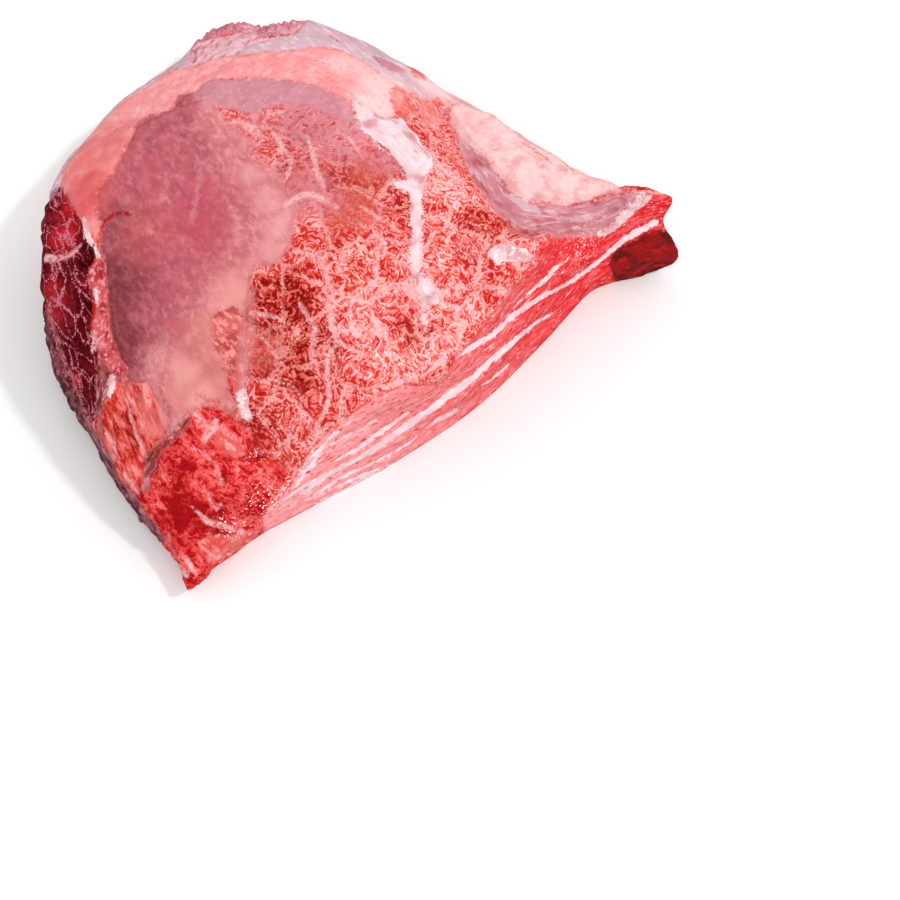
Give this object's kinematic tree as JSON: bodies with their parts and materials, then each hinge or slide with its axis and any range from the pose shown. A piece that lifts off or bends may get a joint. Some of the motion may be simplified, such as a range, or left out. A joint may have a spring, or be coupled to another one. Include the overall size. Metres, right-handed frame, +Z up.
{
  "type": "raw beef cheek",
  "caption": "Trimmed raw beef cheek with a slice cut off its front: a domed slab of marbled muscle, part covered by skin and fat, with a flat cut face.",
  "frame": {"origin": "middle of the box round the meat, at the height of the surface that it lies on", "axes": "+X along the cut, from its thin end to its thick end; -Y out of the cut face; +Z up"},
  "size_m": [0.1438, 0.1236, 0.0479],
  "materials": {
    "meat": "wet raw meat, red muscle with pale fat and skin"
  },
  "bodies": {
    "root": {"cheek": "meat"}
  },
  "joints": []
}
